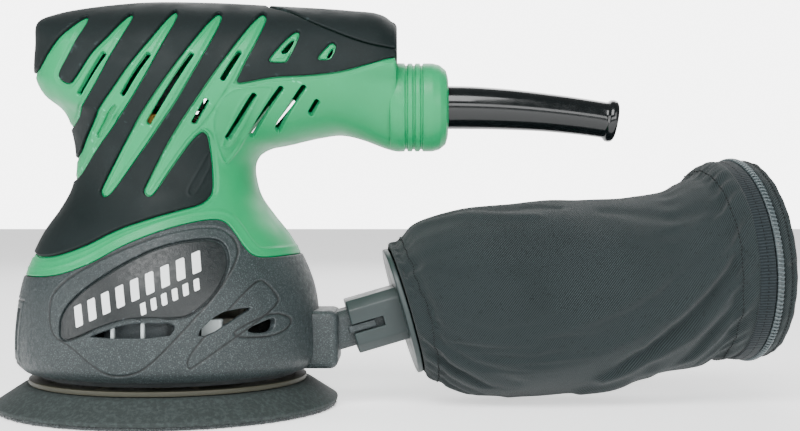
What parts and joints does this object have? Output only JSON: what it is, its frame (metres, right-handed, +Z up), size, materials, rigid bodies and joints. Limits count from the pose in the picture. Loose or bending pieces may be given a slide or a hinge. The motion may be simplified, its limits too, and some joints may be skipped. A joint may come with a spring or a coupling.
{
  "type": "random orbital sander",
  "caption": "Palm-grip random orbital sander with a round hook pad, rear tail with cord guard, finned vents and a cloth dust bag on an angled outlet",
  "frame": {"origin": "where the motor axis meets the working face of the pad, at the height of a surface the pad rests on", "axes": "+Z up along the motor axis, +X along the tail and the dust bag, +Y the tool's right side"},
  "size_m": [0.2919, 0.125, 0.1488],
  "materials": {
    "green_plastic": "satin moulded plastic",
    "soft_grip": "matte overmoulded elastomer",
    "dark_plastic": "fine grained moulded plastic",
    "skirt_plastic": "sparked mould texture",
    "guard_rubber": "glossy",
    "iron_laminations": "stacked sheet",
    "copper_winding": "enamelled wire",
    "bright_steel": "ground",
    "cast_aluminium": "cast",
    "holder_brass": "pressed sheet",
    "carbon": "matte",
    "fan_nylon": "matte",
    "pad_backing_plastic": "matte",
    "pad_foam_rubber": "closed cell foam, matte",
    "hook_fabric": "short stiff hooks",
    "bag_cloth": "woven twill",
    "zip_plastic": "coil teeth",
    "zip_metal": "plated"
  },
  "bodies": {
    "housing": {"housing_left": "green_plastic", "housing_right": "green_plastic", "grip_left": "soft_grip", "grip_right": "soft_grip", "rear_hood": "dark_plastic", "base_housing": "skirt_plastic", "side_plate_left": "skirt_plastic", "side_plate_right": "skirt_plastic", "stator_core": "iron_laminations", "field_coil_left": "copper_winding", "field_coil_right": "copper_winding", "upper_bearing": "bright_steel", "lower_bearing": "bright_steel", "bearing_boot": "soft_grip", "bearing_plate": "cast_aluminium", "brush_holder_left": "holder_brass", "brush_holder_right": "holder_brass", "brush_spring_left": "bright_steel", "brush_spring_right": "bright_steel", "switch_body": "dark_plastic", "speed_controller": "carbon", "dial_spindle": "bright_steel", "cord_clamp": "fan_nylon", "clamp_screw_1": "bright_steel", "clamp_screw_2": "bright_steel", "cord_guard": "guard_rubber", "housing_screw_1": "bright_steel", "housing_screw_2": "bright_steel", "housing_screw_3": "bright_steel", "brake_ring": "soft_grip"},
    "rotor": {"armature_shaft": "bright_steel", "armature_core": "iron_laminations", "winding_lower": "copper_winding", "winding_upper": "copper_winding", "commutator": "copper_winding", "fan": "fan_nylon", "counterweight": "bright_steel", "pad_bearing": "bright_steel"},
    "pad": {"pad_spindle": "bright_steel", "pad_backing": "pad_backing_plastic", "pad_foam": "pad_foam_rubber", "hook_face": "hook_fabric", "pad_screw_1": "bright_steel", "pad_screw_2": "bright_steel", "pad_screw_3": "bright_steel"},
    "brush_left": {"carbon_brush_left": "carbon"},
    "brush_right": {"carbon_brush_right": "carbon"},
    "power_switch": {"power_slider": "dark_plastic"},
    "speed_wheel": {"speed_dial": "dark_plastic"},
    "dust_bag": {"bag_adapter": "dark_plastic", "bag_body": "bag_cloth", "zip_tape": "bag_cloth", "zip_teeth": "zip_plastic", "bag_end_panel": "bag_cloth"},
    "zip_runner": {"zip_slider": "zip_metal"},
    "zip_pull": {"zip_tab": "zip_metal"}
  },
  "joints": [
    {"name": "armature_spin", "type": "hinge", "parent": "housing", "child": "rotor", "pos_m": [0, 0, 0.055], "axis": [0, 0, 1], "continuous": true},
    {"name": "pad_spin", "type": "hinge", "parent": "rotor", "child": "pad", "pos_m": [0, -0.0015, 0.015], "axis": [0, 0, 1], "continuous": true},
    {"name": "power_slide", "type": "slide", "parent": "housing", "child": "power_switch", "axis": [0, 0, 1], "range_m": [0, 0.005]},
    {"name": "speed_turn", "type": "hinge", "parent": "housing", "child": "speed_wheel", "pos_m": [0.077, 0, 0.136], "axis": [0, 1, 0], "range_deg": [0, 270]},
    {"name": "brush_left_slide", "type": "slide", "parent": "housing", "child": "brush_left", "axis": [0, -1, 0], "range_m": [0, 0.005], "stiffness_N_per_m": 200, "springref_m": -0.01, "deforming": ["brush_spring_left"]},
    {"name": "brush_right_slide", "type": "slide", "parent": "housing", "child": "brush_right", "axis": [0, 1, 0], "range_m": [0, 0.005], "stiffness_N_per_m": 200, "springref_m": -0.01, "deforming": ["brush_spring_right"]},
    {"name": "bag_pull", "type": "slide", "parent": "housing", "child": "dust_bag", "axis": [0.9576, 0.0838, 0.2756], "range_m": [0, 0.06]},
    {"name": "zip_travel", "type": "hinge", "parent": "dust_bag", "child": "zip_runner", "pos_m": [0.2151, 0.016, 0.053], "axis": [0.9848, 0.156, 0.0767], "range_deg": [0, 270]},
    {"name": "zip_tab_swing", "type": "hinge", "parent": "zip_runner", "child": "zip_pull", "pos_m": [0.21013, 0.05592, 0.03563], "axis": [0.9848, 0.156, 0.0767], "range_deg": [-15, 110]}
  ]
}
